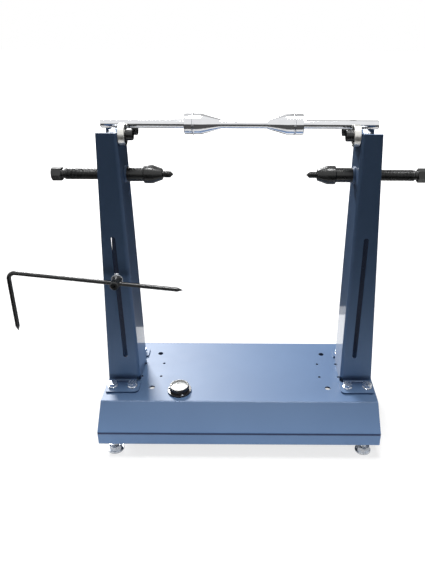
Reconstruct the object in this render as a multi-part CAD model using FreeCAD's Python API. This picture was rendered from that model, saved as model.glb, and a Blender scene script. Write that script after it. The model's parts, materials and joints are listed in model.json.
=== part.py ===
import FreeCAD, Part
import math
import os

# Motorcycle wheel balancer, in millimetres.
# The origin is the centre of the base's flat top face. X runs from the left post to the right one,
# Y runs from the front to the back, and Z points up. Both posts are built on the right side (+X),
# and the left ones are their mirror images.

# Base: one folded sheet, the same at the front and the back, open at both ends
base_sheet = 3.0
base_bend = 2.0
base_length = 440.0
top_depth = 171.0
slope_out = 38.0
slope_down = 32.0
lip_height = 25.0
return_width = 34.0

# Posts: open channels whose webs face the wheel
post_sheet = 3.0
post_bend = 2.5
post_height = 408.0
web_face = 166.0
post_front = 34.0
post_back_foot = 36.0
post_back_top = 31.2
flange_foot = 51.5
flange_top = 28.5
post_foot_gap = 0.5

# Foot tabs, bent outwards from both flanges
tab_far = 66.0
tab_bend = 3.0
tab_corner = 7.0
tab_past_web = 2.0
web_relief = 1.0

# Slot for the pointer, in each front flange
slot_from_web = 20.0
slot_width = 7.0
slot_low = 48.0
slot_high = 257.5

# Post bolts: two in each tab, and one free hole at the same pitch for a narrower stand
bolt_from_web = 10.0
bolt_pitch = 32.0
bolt_row = 50.0
bolt_size = 8.0
bolt_hole = 9.0
bolt_length = 20.0
bolt_flats = 13.0
bolt_head = 5.3
bolt_turn = 17.0
washer_size = 16.0
washer_sheet = 1.6
nut_height = 6.5
pilot_hole = 4.5
pilot_row = 19.0
pilot_from_web = 0.5

# Ball bearings that carry the shaft, 30 x 10 x 9
bearing_outside = 30.0
bearing_bore = 10.0
bearing_width = 9.0
bearing_below_top = 5.0
bearing_offset = 17.7
inner_shoulder = 15.6
outer_shoulder = 24.4
ball_size = 4.76
ball_count = 8
race_play = 0.05
seal_sheet = 0.5
seal_depth = 0.4
seal_play = 0.3
ring_bevel = 0.6
spacer_sheet = 0.5
spacer_size = 14.0
ear_radius = 8.8
saddle_radius = 10.0

# Cap screws and lock nuts of the bearings
cap_size = 10.0
cap_head_size = 16.0
cap_head = 10.0
cap_length = 25.0
cap_hole = 10.5
cap_socket = 8.0
cap_socket_depth = 5.0
lock_flats = 16.0
lock_hex = 7.0
lock_collar = 3.0
lock_collar_size = 14.0

# Balancing shaft
shaft_size = 12.0
shaft_length = 388.0
shaft_bevel = 1.0
rolling_gap = 0.1

# Centring cones and locking collars on the shaft
cone_size = 28.0
cone_nose = 13.0
cone_taper = 26.6
cone_land = 10.0
cone_rim_size = 29.4
cone_rim = 2.0
collar_length = 11.4
collar_bevel = 0.8
cone_tip = {"left": 27.0, "right": 39.0}
grub_size = 5.0
grub_socket = 2.5
grub_sunk = 1.5

# Spindles, their cones and bushes
spindle_height = 342.6
spindle_size = 16.0
spindle_end = 272.0
spindle_flats = 18.0
spindle_hex = 14.5
neck_size = 13.0
neck_length = 3.5
nose_size = 10.0
nose_tip = 96.0
nose_point = 5.3
nose_out = 10.7
spindle_cone_size = 26.7
spindle_cone_small = 16.0
spindle_cone_taper = 14.8
spindle_cone_land = 11.5
bush_size = 20.8
bush_inner = 27.4
bush_outer = 4.0
stop_gap = 0.3
weld_leg = 3.0
hex_turn = {"left": 0.0, "right": 12.0}

# Pointer and its clamp, in the left post's slot
pointer_size = 6.5
pointer_height = 188.0
pointer_out = 12.0
pointer_fall = 6.2
pointer_right = 101.6
pointer_left = 159.7
pointer_leg = 101.0
pointer_corner = 84.6
pointer_bend = 10.0
pointer_point = 9.0
clamp_size = 14.0
clamp_out = 23.0
clamp_stud = 6.0
clamp_stud_out = 16.0
clamp_screw_size = 6.0
clamp_screw_socket = 3.0
clamp_screw_sunk = 1.0
plate_washer = 18.0
plate_washer_sheet = 1.4
clamp_nut_flats = 10.0
clamp_nut_height = 5.0
slide_gap = 0.1

# Round spirit level
level_x = -98.0
level_from_fold = 27.0
level_flange = 38.5
level_flange_sheet = 3.0
level_body = 31.0
level_height = 11.0
level_vial = 27.0
level_floor = 2.0
level_dial = 5.0
level_crown = 1.2
level_screws = 3
level_screw_circle = 34.6
level_first_screw = 52.0
level_screw_size = 2.0
level_screw_head = 3.2
level_screw_length = 9.0

# Levelling feet
foot_from_end = 21.0
foot_from_edge = 18.5
foot_size = 10.0
foot_hole = 10.5
foot_stud_up = 18.0
foot_nut_flats = 17.0
foot_lock_nut = 5.0
foot_weld_nut = 8.0
foot_free = 8.0
foot_hex = 8.0
foot_hex_flats = 19.0
foot_pin_size = 8.0
foot_pin = 2.0
pad_size = 25.5
pad_height = 3.0
pad_bevel = 0.6

# Clearances
thread_play = 0.05
bore_play = 0.05
seat_play = 0.05
hole_reach = 2.0

SIDES = {"left": -1, "right": 1}
ENDS = {"front": -1, "back": 1}
X_AXIS = FreeCAD.Vector(1, 0, 0)
Y_AXIS = FreeCAD.Vector(0, 1, 0)
Z_AXIS = FreeCAD.Vector(0, 0, 1)

# Places that several pieces share
base_edge = top_depth / 2 + slope_out
base_bottom = -slope_down - lip_height
foot_x = base_length / 2 - foot_from_end
foot_y = base_edge - foot_from_edge
level_y = level_from_fold - top_depth / 2
web_back = web_face + post_sheet
bolt_near = web_face + bolt_from_web
bolt_far = bolt_near + bolt_pitch
bolt_free = bolt_near - bolt_pitch
slot_x = web_face + slot_from_web
bearing_inner = web_face - spacer_sheet - bearing_width
bearing_middle = bearing_inner + bearing_width / 2
bearing_height = post_height - bearing_below_top
shaft_height = bearing_height + math.sqrt(
    ((bearing_outside + shaft_size) / 2 + rolling_gap) ** 2 - bearing_offset**2
)
bush_start = web_face - bush_inner
bush_end = web_back + bush_outer
spindle_shoulder = bush_start - stop_gap
pointer_y = -post_front - pointer_out
foot_pad_top = base_bottom - foot_lock_nut - foot_free - foot_hex
fold_top = tab_bend + 2 * post_sheet
back_at_fold = post_back_foot + (post_back_top - post_back_foot) * fold_top / post_height
flange_at_fold = flange_foot + (flange_top - flange_foot) * fold_top / post_height
tab_end = web_face + flange_at_fold
flat_from_bend = post_bend + post_sheet
ball_pitch = (inner_shoulder + outer_shoulder) / 4


def vec(x, y, z):
    return FreeCAD.Vector(x, y, z)


def on_xy(u, v):
    return vec(u, v, 0)


def on_xz(u, v):
    return vec(u, 0, v)


def on_yz(u, v):
    return vec(0, u, v)


def rounded_wire(corners, place):
    """A closed wire through corners (u, v, radius), each sharp or rounded by an arc of its radius."""
    count = len(corners)
    ends = []
    for i, (u, v, radius) in enumerate(corners):
        here = place(u, v)
        before = place(*corners[i - 1][:2])
        after = place(*corners[(i + 1) % count][:2])
        if radius <= 0:
            ends.append((here, here, here))
            continue
        into = (before - here).normalize()
        out = (after - here).normalize()
        half = into.getAngle(out) / 2
        run = radius / math.tan(half)
        middle = (into + out).normalize()
        top = here + middle * (radius / math.sin(half) - radius)
        ends.append((here + into * run, top, here + out * run))
    edges = []
    for i, (start, top, stop) in enumerate(ends):
        if not start.isEqual(stop, 1e-7):
            edges.append(Part.Arc(start, top, stop).toShape())
        following = ends[(i + 1) % count][0]
        if not stop.isEqual(following, 1e-7):
            edges.append(Part.LineSegment(stop, following).toShape())
    return Part.Wire(edges)


def prism(corners, place, direction):
    return Part.Face(rounded_wire(corners, place)).extrude(direction)


def aimed(shape, start, direction):
    """Turns a shape built along +X so that it runs along a direction, and moves its origin to start."""
    shape.Placement = FreeCAD.Placement(start, FreeCAD.Rotation(X_AXIS, direction))
    return shape


def bevelled(corners):
    """The points of an outline in which a corner's third value, if it has one, is cut off."""
    points = []
    for i, (u, v, *cut) in enumerate(corners):
        here = on_xy(u, v)
        if not cut:
            points.append(here)
            continue
        for neighbour in (corners[i - 1], corners[(i + 1) % len(corners)]):
            towards = (on_xy(*neighbour[:2]) - here).normalize()
            points.append(here + towards * cut[0])
    return points


def turned(profile, start, direction):
    """A solid of revolution from (along, radius) points, or (along, radius, bevel) ones."""
    points = bevelled(profile)
    face = Part.Face(Part.makePolygon([*points, points[0]]))
    return aimed(face.revolve(vec(0, 0, 0), X_AXIS, 360), start, direction)


def rod(size, length, start, direction):
    return Part.makeCylinder(size / 2, length, start, direction)


def tube(outside, bore, length, start, direction, *bevel):
    """A tube that grows from start, with a bevel on both outer edges where one is given."""
    low = bore / 2
    high = outside / 2
    profile = [(0, low), (0, high, *bevel), (length, high, *bevel), (length, low)]
    return turned(profile, start, direction)


def hexagon(flats, length, start, direction, turn=0.0):
    """A plain hexagonal prism that grows from start along a direction."""
    radius = flats / math.sqrt(3)
    points = []
    for i in range(6):
        angle = math.radians(60 * i + turn)
        points.append(on_yz(radius * math.cos(angle), radius * math.sin(angle)))
    face = Part.Face(Part.makePolygon([*points, points[0]]))
    return aimed(face.extrude(X_AXIS * length), start, direction)


def bevelled_hexagon(flats, length, start, direction, turn=0.0, both=False):
    """A hexagon with the turned bevel of a bolt head on its far end, or on both ends."""
    corner = flats / math.sqrt(3)
    drop = corner - flats / 2
    profile = [(0, 0), (0, corner + 1), (length - drop, corner + 1)]
    if both:
        profile = [(0, 0), (0, flats / 2), (drop, corner + 1), (length - drop, corner + 1)]
    profile += [(length, flats / 2), (length, 0)]
    return hexagon(flats, length, start, direction, turn).common(turned(profile, start, direction))


def slotted_hole(width, low, high, x, start_y, depth):
    """A cutter for an upright slot with round ends that runs along +Y."""
    half = width / 2
    ends = [(-half, low, half), (half, low, half), (half, high, half), (-half, high, half)]
    cutter = prism(ends, on_xz, Y_AXIS * depth)
    cutter.translate(vec(x, start_y, 0))
    return cutter


def sheet_outline(points, thickness, bend):
    """The closed outline of a bent sheet from the points of its outer face.
    All its bends turn the same way, to the right of the direction in which the points run."""
    flat = [FreeCAD.Vector(u, v, 0) for u, v in points]
    normals = []
    for first, second in zip(flat, flat[1:]):
        along = (second - first).normalize()
        normals.append(vec(along.y, -along.x, 0))
    inner = [flat[0] + normals[0] * thickness]
    for point, one, two in zip(flat[1:-1], normals, normals[1:]):
        middle = (one + two).normalize()
        inner.append(point + middle * (thickness / middle.dot(one)))
    inner.append(flat[-1] + normals[-1] * thickness)
    last = len(points) - 1
    corners = []
    for i, point in enumerate(flat):
        corners.append((point.x, point.y, bend + thickness if 0 < i < last else 0))
    for i, point in reversed(list(enumerate(inner))):
        corners.append((point.x, point.y, bend if 0 < i < last else 0))
    return corners


def mirrored(shape, side):
    return shape if side == "right" else shape.mirror(vec(0, 0, 0), X_AXIS)


def cut_all(solid, cutters):
    return solid.cut(Part.makeCompound(cutters))


def fused(solid, pieces):
    return solid.fuse(pieces).removeSplitter()


def bolt_places(distances):
    """The places of bolts at these distances from the middle, on all four corners of the base."""
    return [
        (side * distance, end * bolt_row)
        for side in SIDES.values()
        for end in ENDS.values()
        for distance in distances
    ]


def level_screw_places():
    places = []
    for i in range(level_screws):
        angle = math.radians(level_first_screw + 360 * i / level_screws)
        reach = level_screw_circle / 2
        places.append((level_x + reach * math.cos(angle), level_y + reach * math.sin(angle)))
    return places


def base_plate():
    outside = [
        (-base_edge + return_width, base_bottom),
        (-base_edge, base_bottom),
        (-base_edge, -slope_down),
        (-top_depth / 2, 0),
        (top_depth / 2, 0),
        (base_edge, -slope_down),
        (base_edge, base_bottom),
        (base_edge - return_width, base_bottom),
    ]
    outline = sheet_outline(outside, base_sheet, base_bend)
    plate = prism(outline, on_yz, X_AXIS * base_length)
    plate.translate(X_AXIS * (-base_length / 2))
    depth = base_sheet + 2 * hole_reach
    cutters = []
    for x, y in bolt_places([bolt_free, bolt_near, bolt_far]):
        cutters.append(rod(bolt_hole, depth, vec(x, y, hole_reach - depth), Z_AXIS))
    first_pilot = web_face - pilot_from_web
    for side in SIDES.values():
        for end in ENDS.values():
            for distance in (first_pilot, first_pilot - bolt_pitch):
                place = vec(side * distance, end * pilot_row, hole_reach - depth)
                cutters.append(rod(pilot_hole, depth, place, Z_AXIS))
            foot = vec(side * foot_x, end * foot_y, base_bottom - hole_reach)
            cutters.append(rod(foot_hole, depth, foot, Z_AXIS))
    for x, y in level_screw_places():
        size = level_screw_size + 2 * thread_play
        cutters.append(rod(size, depth, vec(x, y, hole_reach - depth), Z_AXIS))
    return cut_all(plate, cutters)


def channel():
    """Two bent halves that share the web. The back one leans forwards as it goes up."""
    rise = post_height - fold_top
    front = [(tab_end, -post_front), (web_face, -post_front), (web_face, post_bend)]
    back = [(web_face, -post_bend), (web_face, back_at_fold), (tab_end, back_at_fold)]
    lean = vec(0, post_back_top - back_at_fold, rise)
    body = prism(sheet_outline(front, post_sheet, post_bend), on_xy, Z_AXIS * rise)
    body = body.fuse(prism(sheet_outline(back, post_sheet, post_bend), on_xy, lean))
    body.translate(Z_AXIS * fold_top)
    slope = (flange_top - flange_foot) / post_height
    outside = [
        (web_face + flange_foot, 0, 0),
        (web_face + flange_foot + slope * 2 * post_height, 2 * post_height, 0),
        (web_face + 2 * flange_foot, 2 * post_height, 0),
        (web_face + 2 * flange_foot, 0, 0),
    ]
    trim = prism(outside, on_xz, Y_AXIS * (4 * post_front))
    trim.translate(Y_AXIS * (-2 * post_front))
    return body.cut(trim)


def foot_tab(flange_y):
    """A foot tab with the fold above it, built for the front. flange_y is the flange's outer face."""
    inner_face = flange_y + post_sheet
    flat_from = flange_y - tab_bend
    tab_start = web_face - tab_past_web
    outside = [(inner_face, fold_top), (inner_face, 0), (-tab_far, 0)]
    strip = prism(
        sheet_outline(outside, post_sheet, tab_bend), on_yz, X_AXIS * (tab_end - tab_start)
    )
    strip.translate(X_AXIS * tab_start)
    trim = [
        (tab_start, flat_from, 0),
        (tab_start, -tab_far, tab_corner),
        (tab_end, -tab_far, tab_corner / 2),
        (tab_end, inner_face, 0),
        (web_face + flat_from_bend, inner_face, 0),
        (web_face + flat_from_bend, flat_from, 0),
    ]
    return strip.common(prism(trim, on_xy, Z_AXIS * fold_top))


def web_foot():
    """The web's lower end, cut back beside both bends and clear of the base."""
    margin = flat_from_bend + web_relief
    front = -post_front + margin
    size = (post_sheet, back_at_fold - margin - front, fold_top - post_foot_gap)
    return Part.makeBox(*size, vec(web_face, front, post_foot_gap))


def bearing_ear(end):
    """The round lug above the web's top edge that gives a bearing screw its metal."""
    centre = vec(web_face, end * bearing_offset, bearing_height)
    disc = rod(2 * ear_radius, post_sheet, centre, X_AXIS)
    above = Part.makeBox(
        post_sheet, 2 * ear_radius, ear_radius, vec(web_face, centre.y - ear_radius, post_height)
    )
    return disc.common(above)


def bush_weld():
    """The weld bead round the bush's root, on the web's wheel side."""
    bush = bush_size / 2
    profile = [
        (0, bush),
        (0, bush + weld_leg),
        (-weld_leg * 0.4, bush + weld_leg * 0.4),
        (-weld_leg, bush + weld_leg * 0.1),
        (-weld_leg, bush),
    ]
    return turned(profile, vec(web_face, 0, spindle_height), X_AXIS)


def post():
    tabs = [foot_tab(-post_front), foot_tab(-back_at_fold).mirror(vec(0, 0, 0), Y_AXIS)]
    ears = [bearing_ear(end) for end in ENDS.values()]
    body = fused(channel(), [web_foot(), *tabs, *ears, bush_weld()])
    return cut_all(body, post_cutters())


def post_cutters():
    through = post_sheet + 2 * hole_reach
    web_start = web_face - hole_reach
    cutters = [
        slotted_hole(slot_width, slot_low, slot_high, slot_x, -post_front - hole_reach, through),
        rod(bush_size, through + weld_leg, vec(web_start - weld_leg, 0, spindle_height), X_AXIS),
        rod(2 * saddle_radius, through, vec(web_start, 0, shaft_height), X_AXIS),
    ]
    for end in ENDS.values():
        screw = vec(web_start, end * bearing_offset, bearing_height)
        cutters.append(rod(cap_hole, through, screw, X_AXIS))
        for distance in (bolt_near, bolt_far):
            bolt = vec(distance, end * bolt_row, -hole_reach)
            cutters.append(rod(bolt_hole, through, bolt, Z_AXIS))
    return cutters


def post_bolts():
    """Hexagon bolts that go down through the washers, the tabs and the base."""
    bolts = []
    under_head = post_sheet + washer_sheet
    for i, (x, y) in enumerate(bolt_places([bolt_near, bolt_far])):
        place = vec(x, y, under_head)
        head = bevelled_hexagon(bolt_flats, bolt_head, place, Z_AXIS, i * bolt_turn)
        shank = rod(bolt_size, bolt_length, place - Z_AXIS * bolt_length, Z_AXIS)
        bolts.append(fused(head, [shank]))
    return bolts


def post_washers():
    return [
        tube(washer_size, bolt_hole, washer_sheet, vec(x, y, post_sheet), Z_AXIS, 0.3)
        for x, y in bolt_places([bolt_near, bolt_far])
    ]


def post_nuts():
    nuts = []
    for i, (x, y) in enumerate(bolt_places([bolt_near, bolt_far])):
        place = vec(x, y, -base_sheet)
        nut = bevelled_hexagon(bolt_flats, nut_height, place, -Z_AXIS, i * bolt_turn)
        bore = rod(bolt_size + 2 * thread_play, nut_height, place, -Z_AXIS)
        nuts.append(nut.cut(bore))
    return nuts


def bearing_places(side):
    return [(end, vec(bearing_middle, ENDS[end] * bearing_offset, bearing_height)) for end in ENDS]


def race_ring(low, high, groove_radius, bevel):
    """A bearing ring between two radii, with its ball groove and its bevelled outer corners."""
    half = bearing_width / 2
    points = bevelled([(-half, low), (-half, high, *bevel), (half, high, *bevel), (half, low)])
    section = Part.Face(Part.makePolygon([*points, points[0]]))
    circle = Part.makeCircle(ball_size / 2 + race_play, on_xy(0, groove_radius))
    section = section.cut(Part.Face(Part.Wire(circle)))
    return section.revolve(vec(0, 0, 0), X_AXIS, 360)


def bearing_outer(centre):
    ring = race_ring(outer_shoulder / 2, bearing_outside / 2, ball_pitch, [ring_bevel])
    return aimed(ring, centre, X_AXIS)


def bearing_inner_ring(centre):
    """The inner ring, in whose groove the balls rest."""
    bore = bearing_bore / 2 + seat_play
    ring = race_ring(bore, inner_shoulder / 2, ball_pitch + race_play, [])
    return aimed(ring, centre, X_AXIS)


def bearing_seals(centre):
    """The two thin seals that are pressed into the outer ring and stay clear of the inner one."""
    bore = inner_shoulder + 2 * seal_play
    outermost = bearing_width / 2 - seal_depth
    return [
        tube(outer_shoulder, bore, seal_sheet, centre + X_AXIS * start, X_AXIS)
        for start in (-outermost, outermost - seal_sheet)
    ]


def bearing_balls(centre):
    balls = []
    for i in range(ball_count):
        angle = 2 * math.pi * i / ball_count
        place = centre + on_yz(ball_pitch * math.cos(angle), ball_pitch * math.sin(angle))
        balls.append(Part.makeSphere(ball_size / 2, place))
    return balls


def bearing_spacer(centre):
    start = vec(web_face - spacer_sheet, centre.y, centre.z)
    return tube(spacer_size, bearing_bore + 2 * seat_play, spacer_sheet, start, X_AXIS)


def cap_screw(centre):
    """A socket head cap screw whose head bears on the bearing's inner ring."""
    start = vec(bearing_inner - cap_head, centre.y, centre.z)
    end = cap_head + cap_length
    body = turned(
        [
            (0, 0),
            (0, cap_head_size / 2, 1.0),
            (cap_head, cap_head_size / 2),
            (cap_head, cap_size / 2),
            (end, cap_size / 2, 1.0),
            (end, 0),
        ],
        start,
        X_AXIS,
    )
    return body.cut(hexagon(cap_socket, cap_socket_depth, start, X_AXIS))


def lock_nut(centre):
    """A hexagon nut with the round collar that holds its nylon ring."""
    start = vec(web_back, centre.y, centre.z)
    height = lock_hex + lock_collar
    nut = bevelled_hexagon(lock_flats, lock_hex, start, X_AXIS, 30, both=True)
    collar = tube(lock_collar_size, cap_size, height, start, X_AXIS, 1.0)
    bore = rod(cap_size + 2 * thread_play, height, start, X_AXIS)
    return fused(nut, [collar]).cut(bore)


def balancing_shaft():
    half = shaft_length / 2
    end = (shaft_size / 2, shaft_bevel)
    profile = [(-half, 0), (-half, *end), (half, *end), (half, 0)]
    return turned(profile, vec(0, 0, shaft_height), X_AXIS)


def cone_start(side):
    return vec(cone_tip[side], 0, shaft_height)


def shaft_cone(side):
    """A centring cone with a plain land and a raised rim, bored to slide on the shaft."""
    bore = shaft_size / 2 + bore_play
    land_end = cone_taper + cone_land
    return turned(
        [
            (0, bore),
            (0, cone_nose / 2),
            (cone_taper, cone_size / 2),
            (land_end, cone_size / 2),
            (land_end, cone_rim_size / 2, 0.5),
            (land_end + cone_rim, cone_rim_size / 2, 0.5),
            (land_end + cone_rim, bore),
        ],
        cone_start(side),
        X_AXIS,
    )


def collar_start(side):
    return cone_start(side) + X_AXIS * (cone_taper + cone_land + cone_rim)


def shaft_collar(side):
    """A locking collar, with a threaded hole at its back for the grub screw."""
    start = collar_start(side)
    bore = shaft_size + 2 * bore_play
    ring = tube(cone_size, bore, collar_length, start, X_AXIS, collar_bevel)
    middle = start + X_AXIS * (collar_length / 2)
    hole = rod(grub_size + 2 * thread_play, cone_size, middle, Y_AXIS)
    return ring.cut(hole)


def grub_screw(side):
    start = collar_start(side) + X_AXIS * (collar_length / 2)
    tip = start + Y_AXIS * (shaft_size / 2 + bore_play)
    length = (cone_size - shaft_size) / 2 - bore_play - grub_sunk
    screw = rod(grub_size, length, tip, Y_AXIS)
    socket = hexagon(grub_socket, grub_size / 2, tip + Y_AXIS * length, -Y_AXIS)
    return screw.cut(socket)


def spindle_bush():
    length = bush_end - bush_start
    bore = spindle_size + 2 * thread_play
    return tube(bush_size, bore, length, vec(bush_start, 0, spindle_height), X_AXIS, 0.5)


def spindle(side):
    """A screw spindle: pointed nose, shoulder, long rod, turned neck and a bevelled hexagon."""
    hex_start = spindle_end - spindle_hex
    neck_start = hex_start - neck_length
    radius = spindle_size / 2
    rise = (spindle_size - neck_size) / 2
    body = turned(
        [
            (nose_tip, 0),
            (nose_tip + nose_point, nose_size / 2),
            (spindle_shoulder, nose_size / 2),
            (spindle_shoulder, radius),
            (neck_start - rise, radius),
            (neck_start, neck_size / 2),
            (hex_start + 1, neck_size / 2),
            (hex_start + 1, 0),
        ],
        vec(0, 0, spindle_height),
        X_AXIS,
    )
    head = bevelled_hexagon(
        spindle_flats,
        spindle_hex,
        vec(hex_start, 0, spindle_height),
        X_AXIS,
        hex_turn[side],
        both=True,
    )
    return fused(body, [head])


def spindle_cone():
    """The cone on the spindle's nose, seated against the shoulder."""
    start = nose_tip + nose_point + nose_out
    length = spindle_shoulder - start
    bore = nose_size / 2 + thread_play
    return turned(
        [
            (0, bore),
            (0, spindle_cone_small / 2, 0.6),
            (length - spindle_cone_land, spindle_cone_size / 2),
            (length, spindle_cone_size / 2, 0.6),
            (length, bore),
        ],
        vec(start, 0, spindle_height),
        X_AXIS,
    )


def clamp_centre():
    return vec(-slot_x, pointer_y, pointer_height)


def pointer_direction():
    fall = math.radians(pointer_fall)
    return vec(math.cos(fall), 0, -math.sin(fall))


def pointer_rod():
    """The L-shaped rod: one straight arm through the clamp, one round bend and a shorter leg."""
    arm = pointer_direction()
    turn = math.radians(180 - pointer_corner)
    down = FreeCAD.Rotation(Y_AXIS, math.degrees(-turn)).multVec(-arm)
    centre = clamp_centre()
    corner = centre - arm * pointer_left
    run = pointer_bend * math.tan(turn / 2)
    arm_start = centre + arm * (pointer_right - pointer_point)
    bend_start = corner + arm * run
    bend_stop = corner + down * run
    inward = (arm + down).normalize()
    bend_top = corner + inward * (pointer_bend / math.cos(turn / 2) - pointer_bend)
    leg_stop = corner + down * (pointer_leg - pointer_point)
    path = Part.Wire(
        [
            Part.LineSegment(arm_start, bend_start).toShape(),
            Part.Arc(bend_start, bend_top, bend_stop).toShape(),
            Part.LineSegment(bend_stop, leg_stop).toShape(),
        ]
    )
    circle = Part.Wire(Part.makeCircle(pointer_size / 2, arm_start, arm))
    body = path.makePipeShell([circle], True, False)
    tips = [
        Part.makeCone(pointer_size / 2, 0, pointer_point, arm_start, arm),
        Part.makeCone(pointer_size / 2, 0, pointer_point, leg_stop, down),
    ]
    return fused(body, tips)


def clamp_front():
    return vec(-slot_x, -post_front - clamp_out, pointer_height)


def clamp_back():
    return -post_front - slide_gap - plate_washer_sheet


def pointer_clamp():
    """The cross-drilled clamp post and the stud that goes back through the slot."""
    start = clamp_front()
    length = clamp_back() - start.y
    stud_end = -post_front + post_sheet + clamp_stud_out - start.y
    body = turned(
        [
            (0, 0),
            (0, clamp_size / 2, 1.5),
            (length, clamp_size / 2, 0.4),
            (length, clamp_stud / 2),
            (stud_end, clamp_stud / 2, 1.0),
            (stud_end, 0),
        ],
        start,
        Y_AXIS,
    )
    arm = pointer_direction()
    across = rod(
        pointer_size + 2 * bore_play, 2 * clamp_size, clamp_centre() - arm * clamp_size, arm
    )
    screw_hole = rod(
        clamp_screw_size + 2 * thread_play, pointer_y - start.y, start, Y_AXIS
    )
    return body.cut(Part.makeCompound([across, screw_hole]))


def clamp_screw():
    start = clamp_front() + Y_AXIS * clamp_screw_sunk
    length = pointer_y - pointer_size / 2 - bore_play - start.y
    screw = rod(clamp_screw_size, length, start, Y_AXIS)
    return screw.cut(hexagon(clamp_screw_socket, length / 2, start, Y_AXIS, 30))


def pointer_washers():
    """A large washer on each side of the slotted flange."""
    front = vec(-slot_x, clamp_back(), pointer_height)
    back = vec(-slot_x, -post_front + post_sheet + slide_gap, pointer_height)
    bore = clamp_stud + 2 * thread_play
    return [
        tube(plate_washer, bore, plate_washer_sheet, place, Y_AXIS, 0.3)
        for place in (front, back)
    ]


def pointer_nut():
    start = vec(
        -slot_x, -post_front + post_sheet + slide_gap + plate_washer_sheet, pointer_height
    )
    nut = bevelled_hexagon(clamp_nut_flats, clamp_nut_height, start, Y_AXIS)
    return nut.cut(rod(clamp_stud + 2 * thread_play, clamp_nut_height, start, Y_AXIS))


def level_housing():
    """The level's cup: a screwed flange and a wall round the vial."""
    low = level_vial / 2 + seat_play
    body = turned(
        [
            (0, 0),
            (0, level_flange / 2),
            (level_flange_sheet, level_flange / 2, 0.3),
            (level_flange_sheet, level_body / 2),
            (level_height, level_body / 2, 0.6),
            (level_height, low),
            (level_floor, low),
            (level_floor, 0),
        ],
        vec(level_x, level_y, 0),
        Z_AXIS,
    )
    holes = [
        rod(level_screw_size + 2 * thread_play, 2 * level_flange_sheet, vec(x, y, -1), Z_AXIS)
        for x, y in level_screw_places()
    ]
    return cut_all(body, holes)


def level_dial_disc():
    return rod(level_vial, level_dial, vec(level_x, level_y, level_floor), Z_AXIS)


def level_lens():
    """The clear vial over the dial, with a low domed top."""
    start = level_floor + level_dial
    radius = ((level_vial / 2) ** 2 + level_crown**2) / (2 * level_crown)
    top = level_height + level_crown
    vial = rod(level_vial, top - start, vec(level_x, level_y, start), Z_AXIS)
    return vial.common(Part.makeSphere(radius, vec(level_x, level_y, top - radius)))


def level_screw_set():
    """Small pan head screws through the level's flange and the base."""
    head = level_screw_head / 2
    screws = []
    for x, y in level_screw_places():
        profile = [
            (0, 0),
            (0, level_screw_size / 2),
            (level_screw_length, level_screw_size / 2),
            (level_screw_length, head),
            (level_screw_length + head, head, head * 0.7),
            (level_screw_length + head, 0),
        ]
        place = vec(x, y, level_flange_sheet - level_screw_length)
        screws.append(turned(profile, place, Z_AXIS))
    return screws


def foot_places():
    return [
        (f"{end}_{side}", vec(SIDES[side] * foot_x, ENDS[end] * foot_y, 0))
        for end in ENDS
        for side in SIDES
    ]


def foot_nut(place, start, height, direction):
    centre = vec(place.x, place.y, start)
    nut = bevelled_hexagon(foot_nut_flats, height, centre, direction)
    return nut.cut(rod(foot_size + 2 * thread_play, height, centre, direction))


def foot_stud(place):
    """A threaded stud with a hexagon to turn it by and a pin that is pressed into the pad."""
    hex_start = vec(place.x, place.y, foot_pad_top)
    top = base_bottom + base_sheet + foot_stud_up
    body = turned(
        [
            (-foot_pin, 0),
            (-foot_pin, foot_pin_size / 2),
            (0, foot_pin_size / 2),
            (0, foot_size / 2),
            (top - foot_pad_top, foot_size / 2, 1.0),
            (top - foot_pad_top, 0),
        ],
        hex_start,
        Z_AXIS,
    )
    head = bevelled_hexagon(foot_hex_flats, foot_hex, hex_start, Z_AXIS, both=True)
    return fused(body, [head])


def foot_pad(place):
    """A plated steel disc with a blind hole for the stud's pin."""
    bottom = vec(place.x, place.y, foot_pad_top - pad_height)
    pin = foot_pin_size / 2 + seat_play
    return turned(
        [
            (0, 0),
            (0, pad_size / 2, pad_bevel),
            (pad_height, pad_size / 2, pad_bevel),
            (pad_height, pin),
            (pad_height - foot_pin - seat_play, pin),
            (pad_height - foot_pin - seat_play, 0),
        ],
        bottom,
        Z_AXIS,
    )


def add_posts(nodes):
    shape = post()
    bush = spindle_bush()
    cone = spindle_cone()
    for side in SIDES:
        nodes[f"{side}_post"] = [mirrored(shape, side)]
        nodes[f"{side}_spindle_bush"] = [mirrored(bush, side)]
        nodes[f"{side}_spindle"] = [mirrored(spindle(side), side)]
        nodes[f"{side}_spindle_cone"] = [mirrored(cone, side)]


def add_bearings(nodes):
    shared = {
        "bearing_inner_rings": bearing_inner_ring,
        "bearing_spacers": bearing_spacer,
        "bearing_screws": cap_screw,
        "bearing_lock_nuts": lock_nut,
    }
    for name in (*shared, "bearing_balls"):
        nodes[name] = []
    for side in SIDES:
        for end, centre in bearing_places(side):
            for name, make in shared.items():
                nodes[name].append(mirrored(make(centre), side))
            nodes["bearing_balls"] += [mirrored(ball, side) for ball in bearing_balls(centre)]
            ring = f"{side}_{end}_bearing"
            nodes[f"{ring}_ring"] = [mirrored(bearing_outer(centre), side)]
            nodes[f"{ring}_seals"] = [
                mirrored(seal, side) for seal in bearing_seals(centre)
            ]


def add_shaft(nodes):
    nodes["shaft"] = [balancing_shaft()]
    for side in SIDES:
        nodes[f"{side}_cone"] = [mirrored(shaft_cone(side), side)]
        nodes[f"{side}_collar"] = [mirrored(shaft_collar(side), side)]
        nodes[f"{side}_grub_screw"] = [mirrored(grub_screw(side), side)]


def add_pointer(nodes):
    nodes["pointer_washers"] = pointer_washers()
    nodes["pointer_nut"] = [pointer_nut()]
    nodes["pointer_clamp"] = [pointer_clamp()]
    nodes["pointer_clamp_screw"] = [clamp_screw()]
    nodes["pointer_rod"] = [pointer_rod()]


def add_level(nodes):
    nodes["level_housing"] = [level_housing()]
    nodes["level_dial"] = [level_dial_disc()]
    nodes["level_lens"] = [level_lens()]
    nodes["level_screws"] = level_screw_set()


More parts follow.
